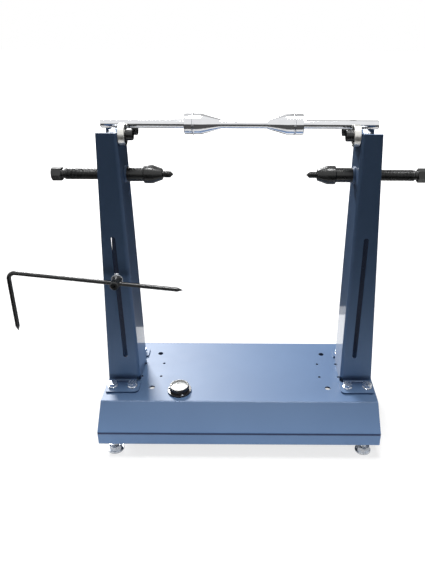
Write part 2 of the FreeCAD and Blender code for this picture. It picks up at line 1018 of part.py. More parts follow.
def add_feet(nodes):
    nodes["foot_lock_nuts"] = []
    nodes["foot_weld_nuts"] = []
    for name, place in foot_places():
        nodes["foot_lock_nuts"].append(foot_nut(place, base_bottom, foot_lock_nut, -Z_AXIS))
        nodes["foot_weld_nuts"].append(
            foot_nut(place, base_bottom + base_sheet, foot_weld_nut, Z_AXIS)
        )
        nodes[f"{name}_foot_stud"] = [foot_stud(place)]
        nodes[f"{name}_foot_pad"] = [foot_pad(place)]


def build():
    nodes = {"base_plate": [base_plate()]}
    add_posts(nodes)
    nodes["post_bolts"] = post_bolts()
    nodes["post_washers"] = post_washers()
    nodes["post_nuts"] = post_nuts()
    add_bearings(nodes)
    add_shaft(nodes)
    add_pointer(nodes)
    add_level(nodes)
    add_feet(nodes)
    return nodes


def single(shape):
    """The one solid in a shape, which booleans may return inside a compound."""
    solids = shape.Solids
    if len(solids) != 1:
        raise ValueError(f"a piece came out as {len(solids)} solids")
    return solids[0]


def main():
    os.makedirs("parts", exist_ok=True)
    nodes = build()
    for name, pieces in nodes.items():
        solids = [single(piece) for piece in pieces]
        for solid in solids:
            if not solid.isValid() or solid.Volume <= 0:
                raise ValueError(f"{name} isn't a valid solid")
        shape = solids[0] if len(solids) == 1 else Part.makeCompound(solids)
        shape.exportStep(f"parts/{name}.step")
    print(f"{len(nodes)} nodes")


main()
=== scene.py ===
import json
import math

import bpy
from bpy.props import FloatProperty, FloatVectorProperty, PointerProperty
from mathutils import Matrix, Vector

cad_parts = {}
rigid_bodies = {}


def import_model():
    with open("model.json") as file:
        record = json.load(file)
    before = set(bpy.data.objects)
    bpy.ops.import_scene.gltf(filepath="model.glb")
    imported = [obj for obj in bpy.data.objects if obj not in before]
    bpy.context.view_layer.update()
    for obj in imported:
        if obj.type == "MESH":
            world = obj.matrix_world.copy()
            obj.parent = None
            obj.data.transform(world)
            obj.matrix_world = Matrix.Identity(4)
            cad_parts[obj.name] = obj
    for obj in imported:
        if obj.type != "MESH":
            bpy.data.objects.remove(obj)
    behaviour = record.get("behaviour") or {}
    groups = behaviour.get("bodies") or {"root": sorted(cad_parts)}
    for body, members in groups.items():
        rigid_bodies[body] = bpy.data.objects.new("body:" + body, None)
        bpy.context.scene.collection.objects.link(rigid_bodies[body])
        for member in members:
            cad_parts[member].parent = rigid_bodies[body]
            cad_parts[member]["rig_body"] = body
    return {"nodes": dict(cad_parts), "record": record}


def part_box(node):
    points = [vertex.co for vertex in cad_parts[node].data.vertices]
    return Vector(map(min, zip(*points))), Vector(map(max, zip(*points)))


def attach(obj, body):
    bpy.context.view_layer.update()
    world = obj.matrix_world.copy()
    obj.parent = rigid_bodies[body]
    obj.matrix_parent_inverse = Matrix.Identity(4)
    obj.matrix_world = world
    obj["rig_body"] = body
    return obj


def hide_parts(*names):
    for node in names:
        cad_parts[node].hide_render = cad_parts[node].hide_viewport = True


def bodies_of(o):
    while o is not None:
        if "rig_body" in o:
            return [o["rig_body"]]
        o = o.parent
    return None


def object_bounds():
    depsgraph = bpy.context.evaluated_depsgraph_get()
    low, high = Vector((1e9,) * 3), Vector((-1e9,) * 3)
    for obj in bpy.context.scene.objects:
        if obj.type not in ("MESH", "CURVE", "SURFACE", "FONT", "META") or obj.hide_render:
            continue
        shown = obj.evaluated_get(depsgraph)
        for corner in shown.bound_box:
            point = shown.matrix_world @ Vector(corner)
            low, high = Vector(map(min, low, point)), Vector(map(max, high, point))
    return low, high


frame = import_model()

bl_info = {
    "name": "Wheel balancer dresser",
    "version": (1, 0, 0),
    "blender": (4, 5, 0),
    "location": "3D View > Sidebar > Balancer",
    "description": "Paints, plates and details a motorcycle wheel balancer around its packed CAD parts",
    "category": "Object",
}

CAD_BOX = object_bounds()
SIDES = {"left": -1, "right": 1}    # the side's sign along X
ENDS = ("front", "back")
MM = 0.001
MERGE = 1e-6      # metres within which two vertices are one


def length(name, text, default, **more):
    """A length in metres, given in millimetres."""
    return FloatProperty(name=name, description=text, default=default * MM, unit="LENGTH", precision=5, **more)


def tone(name, text, default):
    """A colour, as linear shares of red, green and blue."""
    return FloatVectorProperty(
        name=name, description=text, default=default, size=3, subtype="COLOR", min=0.0, max=1.0
    )


# Settings


class BalancerColours(bpy.types.PropertyGroup):
    enamel: tone("Enamel", "Blue enamel of the base and the posts", (0.092, 0.163, 0.297))
    enamel_deep: tone("Enamel, thicker", "Blue enamel where it lies thicker", (0.085, 0.152, 0.281))
    # painted shade: the colour that the enamel takes on the base's lower folds and in recesses, where shade
    # falls
    enamel_shade: tone("Enamel, dark", "Enamel on the base's lower folds and in recesses", (0.006, 0.016, 0.055))
    oxide: tone("Black oxide", "Blackened steel of the spindles, cap screws and pointer", (0.012, 0.013, 0.013))
    oxide_worn: tone("Black oxide, thin", "Blackened steel where the finish is thin", (0.024, 0.025, 0.025))
    polish: tone("Polished steel", "Ground and polished shaft, cones and collars", (0.79, 0.80, 0.82))
    zinc: tone("Zinc", "Bright zinc plate of bolts, washers, nuts and feet", (0.74, 0.76, 0.79))
    zinc_tint: tone("Zinc, tinted", "The bluish tint in the zinc plate", (0.62, 0.66, 0.72))
    race: tone("Bearing steel", "Ground rings of the ball bearings", (0.80, 0.79, 0.75))
    seal: tone("Bearing seal", "Rubber seals of the ball bearings", (0.020, 0.020, 0.021))
    nylon: tone("Nylon", "Locking rings of the nuts", (0.62, 0.66, 0.72))
    plastic: tone("Level housing", "Black plastic of the spirit level", (0.012, 0.012, 0.014))
    acrylic: tone("Vial", "Clear acrylic of the level's vial", (0.97, 0.99, 0.97))
    dial: tone("Dial", "White disc under the vial", (0.95, 0.955, 0.95))
    dial_line: tone("Dial line", "Printed rings on the dial", (0.30, 0.32, 0.33))
    bubble: tone("Bubble", "Skin of the level's bubble", (0.80, 0.84, 0.80))
    floor: tone("Floor", "Pale studio floor", (0.35, 0.35, 0.35))


class BalancerSizes(bpy.types.PropertyGroup):
    edge_round: length("Edge rounding", "Rounding of the sheet metal's cut edges", 0.35)
    peel_size: length("Orange peel", "Size of the enamel's fine waves", 1.6)
    # The next three set a band of painted shade, a dark line, along the base's lower folds
    fold_shade_height: length("Dark folds", "Height of the dark lines on the base's lower folds", -33.8)
    fold_shade_half: length("Dark folds, half", "Half the height of such a line", 1.2)
    fold_shade_soft: length("Dark folds, edge", "Softness of the line's edges", 0.9)
    # painted shade: how far walls can stand round a recess and still darken it
    recess: length("Recess", "How far a recess's walls can stand and still darken it", 160.0)
    corner_round: length("Corner rounding", "Rounding of turned and hexagonal pieces' corners", 0.2)
    thread_6: length("M6 pitch", "Pitch of the pointer clamp's stud", 1.0)
    thread_8: length("M8 pitch", "Pitch of the post bolts", 1.25)
    thread_10: length("M10 pitch", "Pitch of the cap screws, foot studs and spindle noses", 1.5)
    thread_16: length("M16 pitch", "Pitch of the spindles", 2.0)
    weld_bead: length("Weld bead", "Thickness of the beads that hold the bushes", 3.6)
    nylon_ring: length("Nylon ring", "Outer diameter of the ring in a lock nut", 12.0)
    seal_groove: length("Seal groove", "Depth of the groove in a bearing's seal", 0.22)
    bubble: length("Bubble", "Diameter of the level's bubble", 7.0)
    dial_ring: length("Dial ring", "Diameter of the ring that the bubble is centred in", 9.0)
    dial_line: length("Dial line", "Width of the ring's printed line", 0.35)


class BalancerStudio(bpy.types.PropertyGroup):
    lens: FloatProperty(name="Lens", description="Focal length in millimetres", default=36.19)
    shift: FloatProperty(name="Shift", description="Sideways shift of the picture", default=-0.066)
    camera_x: length("Camera X", "Sideways place of the camera", 15.5)
    camera_y: length("Camera Y", "Place of the camera along Y", -811.5)
    camera_z: length("Camera Z", "Height of the camera over the base's top", 569.0)
    pitch: FloatProperty(
        name="Pitch", description="Fall of the view", default=math.radians(26.4), subtype="ANGLE"
    )
    roll: FloatProperty(name="Roll", description="Roll of the camera", default=0.0055, subtype="ANGLE")
    overhead: FloatProperty(name="Overhead lamp", description="Power in watts", default=41.5)
    window: FloatProperty(
        name="Window lamp", description="Power in watts of the lamp at the back left", default=385.0
    )
    bounce: FloatProperty(name="Floor bounce", description="Power in watts of the low front lamp", default=0.32)
    lip_bounce: FloatProperty(
        name="Lip bounce", description="Power in watts of the lamp before the lip", default=0.05
    )
    ambient: FloatProperty(name="Ambient", description="World light on matt surfaces", default=0.05)


def colours():
    return bpy.context.scene.balancer_colours


def sizes():
    return bpy.context.scene.balancer_sizes


def studio():
    return bpy.context.scene.balancer_studio


# Mesh tools


def select_only(piece):
    bpy.ops.object.select_all(action="DESELECT")
    piece.hide_viewport = False
    piece.select_set(True)
    bpy.context.view_layer.objects.active = piece


def apply_modifier(piece, kind, **settings):
    select_only(piece)
    modifier = piece.modifiers.new(kind.lower(), kind)
    for key, value in settings.items():
        setattr(modifier, key, value)
    bpy.ops.object.modifier_apply(modifier=modifier.name)


def settle(piece, name):
    """Puts the place of a finished piece into its mesh and names it."""
    select_only(piece)
    bpy.ops.object.transform_apply(location=True, rotation=True, scale=True)
    piece.name = name
    piece.data.name = name
    return piece


def node_copy(node, name):
    """A merged copy of a CAD node's mesh, with its flat faces joined."""
    source = frame["nodes"][node]
    piece = source.copy()
    piece.data = source.data.copy()
    piece.parent = None
    for key in list(piece.keys()):
        del piece[key]
    bpy.context.collection.objects.link(piece)
    piece.name = name
    piece.data.name = name
    select_only(piece)
    bpy.ops.object.mode_set(mode="EDIT")
    bpy.ops.mesh.customdata_custom_splitnormals_clear()
    bpy.ops.mesh.select_all(action="SELECT")
    bpy.ops.mesh.remove_doubles(threshold=MERGE)
    bpy.ops.mesh.dissolve_limited(angle_limit=math.radians(0.5))
    bpy.ops.mesh.normals_make_consistent(inside=False)
    done()
    return piece


def centre_of(node):
    low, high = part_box(node)
    return (low + high) / 2


def round_edges(piece, width):
    apply_modifier(
        piece, "BEVEL", width=width, segments=2, limit_method="ANGLE",
        angle_limit=math.radians(35), harden_normals=False, miter_outer="MITER_ARC",
    )
    smooth(piece, 40)
    apply_modifier(piece, "WEIGHTED_NORMAL", keep_sharp=True, weight=100)


def smooth(piece, degrees=30):
    select_only(piece)
    bpy.ops.object.shade_smooth_by_angle(angle=math.radians(degrees))


def pick(piece, test):
    """Goes to edit mode with only the vertices selected whose place passes a test."""
    select_only(piece)
    mesh = piece.data
    for parts in (mesh.edges, mesh.polygons):
        parts.foreach_set("select", [False] * len(parts))
    mesh.vertices.foreach_set("select", [bool(test(vertex.co)) for vertex in mesh.vertices])
    bpy.ops.object.mode_set(mode="EDIT")
    bpy.ops.mesh.select_mode(type="VERT")


def done():
    """Goes back to object mode."""
    bpy.ops.object.mode_set(mode="OBJECT")


def own_copy(piece, name):
    copy = piece.copy()
    copy.data = piece.data.copy()
    copy.name = name
    bpy.context.collection.objects.link(copy)
    return copy


def joined(pieces, name):
    """One object from several, with its doubles left as they are."""
    bpy.ops.object.select_all(action="DESELECT")
    for piece in pieces:
        piece.select_set(True)
    bpy.context.view_layer.objects.active = pieces[0]
    if len(pieces) > 1:
        bpy.ops.object.join()
    pieces[0].name = name
    pieces[0].data.name = name
    return pieces[0]


def loose_parts(piece):
    select_only(piece)
    bpy.ops.object.mode_set(mode="EDIT")
    bpy.ops.mesh.select_all(action="SELECT")
    bpy.ops.mesh.separate(type="LOOSE")
    done()
    return list(bpy.context.selected_objects)


def mesh_box(piece):
    places = [vertex.co for vertex in piece.data.vertices]
    low = Vector([min(place[i] for place in places) for i in range(3)])
    high = Vector([max(place[i] for place in places) for i in range(3)])
    return low, high


def radius_about(place, centre, axis):
    """Distance from the line through centre along axis 0, 1 or 2."""
    across = place - centre
    across[axis] = 0
    return across.length


def facing(axis, sign=1):
    """The unit vector of an axis and the turn that brings +Z to it."""
    way = Vector((0, 0, 0))
    way[axis] = sign
    return way, way.to_track_quat("Z", "Y").to_euler()


def turned_ring(name, profile, centre, axis, sign, sides):
    """A ring from (along, radius) steps: a circle that is extruded to each step and back to the first."""
    way, turn = facing(axis, sign)
    first, radius = profile[0]
    bpy.ops.object.select_all(action="DESELECT")
    bpy.ops.mesh.primitive_circle_add(
        vertices=sides, radius=radius, fill_type="NOTHING", location=centre + way * first, rotation=turn
    )
    piece = bpy.context.object
    bpy.ops.object.mode_set(mode="EDIT")
    for along, wide in (*profile[1:], profile[0]):
        bpy.ops.mesh.extrude_edges_move()
        bpy.ops.transform.translate(value=way * (along - first))
        bpy.ops.transform.resize(value=(wide / radius,) * 3, center_override=centre + way * along)
        first, radius = along, wide
    bpy.ops.mesh.select_all(action="SELECT")
    bpy.ops.mesh.remove_doubles(threshold=MERGE)
    bpy.ops.mesh.normals_make_consistent(inside=False)
    done()
    return settle(piece, name)


RIDGES = {}            # the ridges made so far, by size and turns
THREAD_DEPTH = 0.6     # a thread's depth, as a share of its pitch
FOOT = 0.86            # the width of a ridge's foot, as a share of its pitch
CREST = 0.3            # the width of its crest, as a share of its foot
SUNK = 0.2 * MM        # how deep the foot lies in the rod
TURN_STEPS = 28
ROD_SLACK = 0.03 * MM  # how far a vertex can be from a rod's surface and belong to it
END_REACH = 0.6        # how near a piece's end a thread runs over it, as a share of the rod's size


def thread_ridge(size, pitch, depth, turns):
    """A helical ridge about Z, swept from a square that is narrowed at its crest. It is made once per size."""
    key = (round(size, 6), turns)
    if key not in RIDGES:
        inner = size / 2 - depth - SUNK
        middle = (inner + size / 2) / 2
        bpy.ops.object.select_all(action="DESELECT")
        bpy.ops.mesh.primitive_plane_add(size=1)
        ridge = bpy.context.object
        bpy.ops.object.mode_set(mode="EDIT")
        bpy.ops.transform.rotate(value=math.radians(90), orient_axis="X", center_override=(0, 0, 0))
        bpy.ops.transform.resize(value=(size / 2 - inner, 1, FOOT * pitch), center_override=(0, 0, 0))
        bpy.ops.transform.translate(value=(middle, 0, pitch / 2))
        bpy.ops.mesh.delete(type="ONLY_FACE")
        done()
        pick(ridge, lambda place: place.x > middle)
        bpy.ops.transform.resize(value=(1, 1, CREST), center_override=(0, 0, pitch / 2))
        done()
        apply_modifier(
            ridge, "SCREW", axis="Z", angle=2 * math.pi, screw_offset=pitch, iterations=turns,
            steps=TURN_STEPS, render_steps=TURN_STEPS, use_normal_calculate=True,
        )
        bpy.ops.object.mode_set(mode="EDIT")
        bpy.ops.mesh.select_all(action="SELECT")
        bpy.ops.mesh.fill_holes(sides=4)
        bpy.ops.mesh.normals_make_consistent(inside=False)
        done()
        RIDGES[key] = ridge
    return own_copy(RIDGES[key], "ridge")


def cut_thread(piece, axis, size, pitch):
    """Turns the rod of one size on a piece down to its thread's root and winds the ridge round it.
    The thread runs out before a shoulder, and over an end, which is near the piece's own end."""
    low, high = mesh_box(piece)
    centre = (low + high) / 2
    depth = THREAD_DEPTH * pitch

    def on_rod(place):
        return abs(radius_about(place, centre, axis) - size / 2) < ROD_SLACK

    places = [vertex.co[axis] for vertex in piece.data.vertices if on_rod(vertex.co)]
    first, last = min(places), max(places)
    open_low = first - low[axis] < END_REACH * size
    open_high = high[axis] - last < END_REACH * size
    way, turn = facing(axis)
    inner_first = first if open_low else first + depth
    inner_last = last if open_high else last - depth
    for place in (inner_first, inner_last):
        if first < place < last:
            pick(piece, on_rod)
            at = centre.copy()
            at[axis] = place
            bpy.ops.mesh.bisect(plane_co=at, plane_no=way, threshold=MERGE)
            done()
    slack = 0.01 * MM
    pick(piece, lambda place: on_rod(place) and inner_first - slack < place[axis] < inner_last + slack)
    scale = [1 - 2 * depth / size] * 3
    scale[axis] = 1
    bpy.ops.transform.resize(value=scale, center_override=centre)
    done()
    turns = int((last - first - depth / 2) / pitch)
    ridge = thread_ridge(size, pitch, depth, turns)
    ridge.location = centre
    ridge.location[axis] = last - turns * pitch if open_high else first
    ridge.rotation_euler = turn
    settle(ridge, ridge.name)
    smooth(ridge)
    return joined([piece, ridge], piece.name)


def body_of(node):
    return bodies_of(frame["nodes"][node])[0]


def slot_of(node):
    return next(row["material_slot"] for row in frame["record"]["subparts"] if row["node"] == node)


def dress(piece, body, slot, material, *nodes):
    """Gives a piece its body, its finish and the CAD nodes that it stands for."""
    piece.data.materials.clear()
    piece.data.materials.append(material)
    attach(piece, body)
    if nodes:
        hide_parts(*nodes)
    return piece


# Materials


def shader(name):
    """A new material with its Principled shader."""
    material = bpy.data.materials.new(name)
    material.use_nodes = True
    tree = material.node_tree
    return material, tree, tree.nodes["Principled BSDF"]


def place_texture(tree, kind, scale, stretch=(1.0, 1.0, 1.0), **inputs):
    """A texture on object coordinates. scale is in waves per metre, and stretch multiplies it per axis."""
    where = tree.nodes.new("ShaderNodeTexCoord")
    mapping = tree.nodes.new("ShaderNodeMapping")
    mapping.inputs["Scale"].default_value = stretch
    texture = tree.nodes.new(kind)
    texture.inputs["Scale"].default_value = scale
    for key, value in inputs.items():
        texture.inputs[key].default_value = value
    tree.links.new(where.outputs["Object"], mapping.inputs["Vector"])
    tree.links.new(mapping.outputs["Vector"], texture.inputs["Vector"])
    return texture


def ramp(tree, source, low, high, start=0.35, end=0.65):
    """Maps a texture's value to a number between low and high."""
    node = tree.nodes.new("ShaderNodeMapRange")
    node.inputs["From Min"].default_value = start
    node.inputs["From Max"].default_value = end
    node.inputs["To Min"].default_value = low
    node.inputs["To Max"].default_value = high
    tree.links.new(source, node.inputs["Value"])
    return node.outputs["Result"]


def blend_colours(tree, factor, first, second):
    """Mixes two colours. The first can be another node's output."""
    mix = tree.nodes.new("ShaderNodeMix")
    mix.data_type = "RGBA"
    if isinstance(first, bpy.types.NodeSocket):
        tree.links.new(first, mix.inputs["A"])
    else:
        mix.inputs["A"].default_value = (*first, 1.0)
    mix.inputs["B"].default_value = (*second, 1.0)
    tree.links.new(factor, mix.inputs["Factor"])
    return mix.outputs["Result"]


def calculate(tree, operation, *values):
    """A Math node's result. Each value is a number or another node's output."""
    node = tree.nodes.new("ShaderNodeMath")
    node.operation = operation
    for i, value in enumerate(values):
        if isinstance(value, bpy.types.NodeSocket):
            tree.links.new(value, node.inputs[i])
        else:
            node.inputs[i].default_value = value
    return node.outputs["Value"]


def height_band(tree, middle, half, soft):
    """1 within half of a height, in metres, and 0 from half + soft."""
    where = tree.nodes.new("ShaderNodeTexCoord")
    parts = tree.nodes.new("ShaderNodeSeparateXYZ")
    tree.links.new(where.outputs["Object"], parts.inputs["Vector"])
    away = calculate(tree, "ABSOLUTE", calculate(tree, "SUBTRACT", parts.outputs["Z"], middle))
    return ramp(tree, away, 1.0, 0.0, half, half + soft)


def drifting(tree, first, second, waves, detail):
    """A colour that drifts between two, and the noise that it drifts with."""
    cloud = place_texture(tree, "ShaderNodeTexNoise", waves, Detail=detail).outputs["Fac"]
    return blend_colours(tree, ramp(tree, cloud, 0.0, 1.0), first, second), cloud


def grained(tree, body, waves, distance, strength, stretch=(1.0, 1.0, 1.0)):
    """Gives a shader a fine uneven surface."""
    grain = place_texture(tree, "ShaderNodeTexNoise", waves, stretch, Detail=2.0)
    node = tree.nodes.new("ShaderNodeBump")
    node.inputs["Distance"].default_value = distance
    node.inputs["Strength"].default_value = strength
    tree.links.new(grain.outputs["Fac"], node.inputs["Height"])
    tree.links.new(node.outputs["Normal"], body.inputs["Normal"])


FINE = 0.02 * MM                  # the height of a fine grain
TURNING = (1.0, 0.02, 0.02)       # draws turning marks out round X
FULLY_SHADED, OPEN = 0.54, 0.7        # the open share of its surroundings at which a recess gets full painted shade, and at which a face gets none
GRAZING = (0.75, 0.84)            # the looks, from 0 face on to 1 edge on, over which the coat sets in


def enamel():
    """Sprayed satin enamel, with faint orange peel and a colour that varies a little. It is
    glossier at a grazing look, and has painted shade: darker on the base's lower folds and in recesses."""
    s = sizes()
    material, tree, body = shader("navy_enamel")
    paint, _ = drifting(tree, colours().enamel, colours().enamel_deep, waves=9.0, detail=3.0)
    # Painted shade: the enamel turns dark in recesses, where little of its surroundings is open, and in a line
    # along the base's lower folds
    walls = tree.nodes.new("ShaderNodeAmbientOcclusion")
    walls.only_local = True
    walls.samples = 8
    walls.inputs["Distance"].default_value = s.recess
    fold_shade = height_band(tree, s.fold_shade_height, s.fold_shade_half, s.fold_shade_soft)
    dark = calculate(tree, "MAXIMUM", fold_shade, ramp(tree, walls.outputs["AO"], 1.0, 0.0, FULLY_SHADED, OPEN))
    tree.links.new(blend_colours(tree, dark, paint, colours().enamel_shade), body.inputs["Base Color"])
    look = tree.nodes.new("ShaderNodeLayerWeight")
    look.inputs["Blend"].default_value = 0.5
    tree.links.new(ramp(tree, look.outputs["Facing"], 0.0, 1.0, *GRAZING), body.inputs["Coat Weight"])
    body.inputs["Coat Roughness"].default_value = 0.06
    grained(tree, body, waves=1.0 / s.peel_size, distance=FINE, strength=0.3)
    haze = place_texture(tree, "ShaderNodeTexNoise", 40.0, Detail=4.0)
    tree.links.new(ramp(tree, haze.outputs["Fac"], low=0.46, high=0.475), body.inputs["Roughness"])
    return material


def turned_metal(name, first, second, roughness, spread, metallic, depth):
    """Metal with the fine marks of turning or grinding round X."""
    material, tree, body = shader(name)
    colour, cloud = drifting(tree, first, second, waves=70.0, detail=4.0)
    tree.links.new(colour, body.inputs["Base Color"])
    tree.links.new(ramp(tree, cloud, roughness, roughness + spread), body.inputs["Roughness"])
    grained(tree, body, waves=2600.0, distance=depth, strength=0.5, stretch=TURNING)
    body.inputs["Metallic"].default_value = metallic
    return material


def plated(name, first, second, roughness, spread):
    """Plated steel, with a fine crystal mottling."""
    material, tree, body = shader(name)
    colour, _ = drifting(tree, first, second, waves=90.0, detail=3.0)
    tree.links.new(colour, body.inputs["Base Color"])
    cells = place_texture(tree, "ShaderNodeTexVoronoi", 420.0).outputs["Distance"]
    mottled = ramp(tree, cells, roughness, roughness + spread, start=0.0, end=0.8)
    tree.links.new(mottled, body.inputs["Roughness"])
    grained(tree, body, waves=900.0, distance=FINE, strength=0.4)
    body.inputs["Metallic"].default_value = 1.0
    return material


def moulded(name, first, second, roughness, spread, grain_size):
    """Moulded plastic or rubber with a fine grain."""
    material, tree, body = shader(name)
    colour, cloud = drifting(tree, first, second, waves=60.0, detail=3.0)
    tree.links.new(colour, body.inputs["Base Color"])
    tree.links.new(ramp(tree, cloud, roughness, roughness + spread), body.inputs["Roughness"])
    grained(tree, body, waves=1.0 / grain_size, distance=FINE, strength=0.5)
    return material


def vial_skin(name, shade, alpha):
    """Clear acrylic with faint flow marks. It is see-through, so the dial under it gets its light."""
    material, tree, body = shader(name)
    colour, cloud = drifting(tree, shade, dimmed(shade, 0.97), waves=90.0, detail=2.0)
    tree.links.new(colour, body.inputs["Base Color"])
    tree.links.new(ramp(tree, cloud, low=0.02, high=0.06), body.inputs["Roughness"])
    body.inputs["Alpha"].default_value = alpha
    body.inputs["Coat Weight"].default_value = 1.0
    return material


def dimmed(shade, by):
    return tuple(part * by for part in shade)


FINISHES = {}    # the materials, by the record's finish or by their own name


def make_finishes():
    """Makes the materials. Roughness runs over its spread, and a metal's depth is that of its turning marks."""
    c = colours()
    FINISHES["navy_paint"] = enamel()
    FINISHES["black_oxide"] = turned_metal(
        "black_oxide", c.oxide, c.oxide_worn, roughness=0.24, spread=0.10, metallic=0.0, depth=0.03 * MM
    )
    FINISHES["polished_steel"] = turned_metal(
        "polished_steel", c.polish, dimmed(c.polish, 0.94),
        roughness=0.05, spread=0.05, metallic=1.0, depth=0.006 * MM,
    )
    FINISHES["zinc"] = plated("zinc_plate", c.zinc, c.zinc_tint, roughness=0.16, spread=0.16)
    FINISHES["bearing_steel"] = turned_metal(
        "bearing_steel", c.race, dimmed(c.race, 0.93),
        roughness=0.28, spread=0.06, metallic=1.0, depth=0.01 * MM,
    )
    FINISHES["clear_lens"] = vial_skin("clear_vial", c.acrylic, alpha=0.15)
    FINISHES["bubble"] = vial_skin("bubble_skin", c.bubble, alpha=0.25)
    # Name here and in Blender, colour, how much darker or lighter it drifts, roughness, the spread of
    # the roughness, and the size of the grain in millimetres
    for key, name, shade, drift, roughness, spread, grain in (
        ("bearing_seal", "seal_rubber", c.seal, 1.6, 0.45, 0.15, 0.6),
        ("black_plastic", "level_plastic", c.plastic, 1.5, 0.22, 0.1, 0.8),
        ("white_dial", "dial_white", c.dial, 0.97, 0.35, 0.1, 0.8),
        ("dial_line", "dial_print", c.dial_line, 1.2, 0.4, 0.1, 0.8),
        ("nylon", "nylon", c.nylon, 0.9, 0.4, 0.1, 0.6),
    ):
        FINISHES[key] = moulded(name, shade, dimmed(shade, drift), roughness, spread, grain * MM)


# Operators


class BALANCER_OT_stage(bpy.types.Operator):
    """Sets the camera, the pale floor, the white surround and the soft lamps"""

    bl_idname = "balancer.stage"
    bl_label = "Studio"

    def execute(self, context):
        add_camera()
        add_floor()
        add_world()
        add_lamps()
        context.scene.view_settings.view_transform = "Standard"
        return {"FINISHED"}


def add_camera():
    s = studio()
    data = bpy.data.cameras.new("camera")
    data.lens = s.lens
    data.sensor_width = 36.0
    data.shift_x = s.shift
    data.clip_start = 0.01
    data.clip_end = 50.0
    camera = bpy.data.objects.new("camera", data)
    camera.matrix_world = (
        Matrix.Translation((s.camera_x, s.camera_y, s.camera_z))
        @ Matrix.Rotation(math.radians(90) - s.pitch, 4, "X")
        @ Matrix.Rotation(s.roll, 4, "Z")
    )
    bpy.context.collection.objects.link(camera)
    bpy.context.scene.camera = camera


def seen_ray(tree, in_metal=1.0):
    """1 for camera and transmission rays, and in_metal for glossy rays."""
    path = tree.nodes.new("ShaderNodeLightPath")
    total = path.outputs["Is Camera Ray"]
    for name, share in (("Is Glossy Ray", in_metal), ("Is Transmission Ray", 1.0)):
        total = calculate(tree, "MULTIPLY_ADD", path.outputs[name], share, total)
    return total


WHITE = (1, 1, 1, 1)
FLOOR_SIZE = 16
FLOOR_IN_METAL = 0.55             # how bright reflections see the floor
FLOOR_GLOW = (0.7, 1.0)           # its glow near the stand and far away
FLOOR_FADE = (0.5, 1.4)           # the distances in metres from the stand between which the glow rises


def add_floor():
    lowest = CAD_BOX[0].z
    bpy.ops.mesh.primitive_grid_add(
        x_subdivisions=8, y_subdivisions=8, size=FLOOR_SIZE, location=(0, 0, lowest)
    )
    floor = bpy.context.object
    material, tree, body = shader("studio_floor")
    body.inputs["Base Color"].default_value = (*colours().floor, 1.0)
    body.inputs["Roughness"].default_value = 0.9
    body.inputs["Specular IOR Level"].default_value = 0.1
    where = tree.nodes.new("ShaderNodeTexCoord")
    away = tree.nodes.new("ShaderNodeVectorMath")
    away.operation = "LENGTH"
    tree.links.new(where.outputs["Object"], away.inputs[0])
    glow = ramp(tree, away.outputs["Value"], *FLOOR_GLOW, *FLOOR_FADE)
    body.inputs["Emission Color"].default_value = WHITE
    tree.links.new(
        calculate(tree, "MULTIPLY", seen_ray(tree, FLOOR_IN_METAL), glow), body.inputs["Emission Strength"]
    )
    floor.data.materials.append(material)
    settle(floor, "studio_floor")


def add_world():
    world = bpy.data.worlds.new("studio")
    world.use_nodes = True
    tree = world.node_tree
    back = tree.nodes["Background"]
    back.inputs["Color"].default_value = WHITE
    strength = tree.nodes.new("ShaderNodeMapRange")
    strength.inputs["To Min"].default_value = studio().ambient
    strength.inputs["To Max"].default_value = 1.0
    tree.links.new(seen_ray(tree), strength.inputs["Value"])
    tree.links.new(strength.outputs["Result"], back.inputs["Strength"])
    bpy.context.scene.world = world


GROUND = CAD_BOX[0].z + 1 * MM    # just over the floor
ON_GROUND = GROUND + 1 * MM
# Name, place, target, size, the setting of its power, and whether the camera and reflections see it
LAMPS = (
    ("overhead_lamp", (0.0, 0.0, 2.15), (0.0, 0.0, 0.0), (0.5, 0.7), "overhead", True),
    ("window_lamp", (-1.62, 4.32, 3.50), (-0.15, 0.0, 0.0), (1.37, 1.25), "window", True),
    ("bounce_lamp", (0.0, -0.24, -0.03), (0.0, 0.0, -0.03), (0.8, 0.02), "bounce", False),
    ("lip_lamp", (0.0, -0.1485, -0.047), (0.0, 0.0, -0.047), (0.8, 0.02), "lip_bounce", False),
)
# Name, place, size, whether it stands upright, the rays that see it, and its glow
FLAGS = (
    ("front_ground_flag", (0.0, -0.68, GROUND), (0.8, 0.5), False, "glossy", 0.08),
    ("front_flag", (0.0, -0.93, 0.21), (1.0, 0.58), True, "glossy", 0.08),
    ("left_front_flag", (-1.1, -0.75, GROUND), (1.4, 1.7), False, "glossy", 0.05),
    ("right_front_flag", (1.1, -0.75, GROUND), (1.4, 1.7), False, "glossy", 0.05),
    ("front_ground_shade", (0.0, -1.3, GROUND), (6.0, 1.9), False, "diffuse", 0.0),
    ("front_shade", (0.0, -2.2, 0.4), (6.0, 1.0), True, "diffuse", 0.0),
    ("right_strip", (1.25, 0.27, ON_GROUND), (2.5, 0.13), False, "glossy", 1.5),
    ("right_strip_end", (1.25, 0.355, ON_GROUND), (2.5, 0.04), False, "glossy", 0.6),
    ("left_strip", (-1.25, 0.24, ON_GROUND), (2.5, 0.07), False, "glossy", 1.4),
    ("back_ground_flag", (0.0, 1.1375, GROUND), (5.0, 1.725), False, "glossy", 0.0),
    ("left_ground_shade", (-1.65, 0.0, GROUND), (2.7, 6.0), False, "diffuse", 0.0),
    ("right_ground_shade", (1.65, 0.0, GROUND), (2.7, 6.0), False, "diffuse", 0.0),
    ("back_ground_shade", (0.0, 1.8, GROUND), (6.0, 2.7), False, "diffuse", 0.0),
    ("back_flag", (0.0, 2.0, 0.42), (6.0, 1.0), True, "glossy", 0.0),
    ("back_right_flag", (2.0, 3.0, 2.4), (3.8, 2.2), True, "glossy", 0.45),
    ("ceiling_flag", (0.0, 1.35, 2.0), (6.0, 0.8), False, "glossy", 0.55),
)


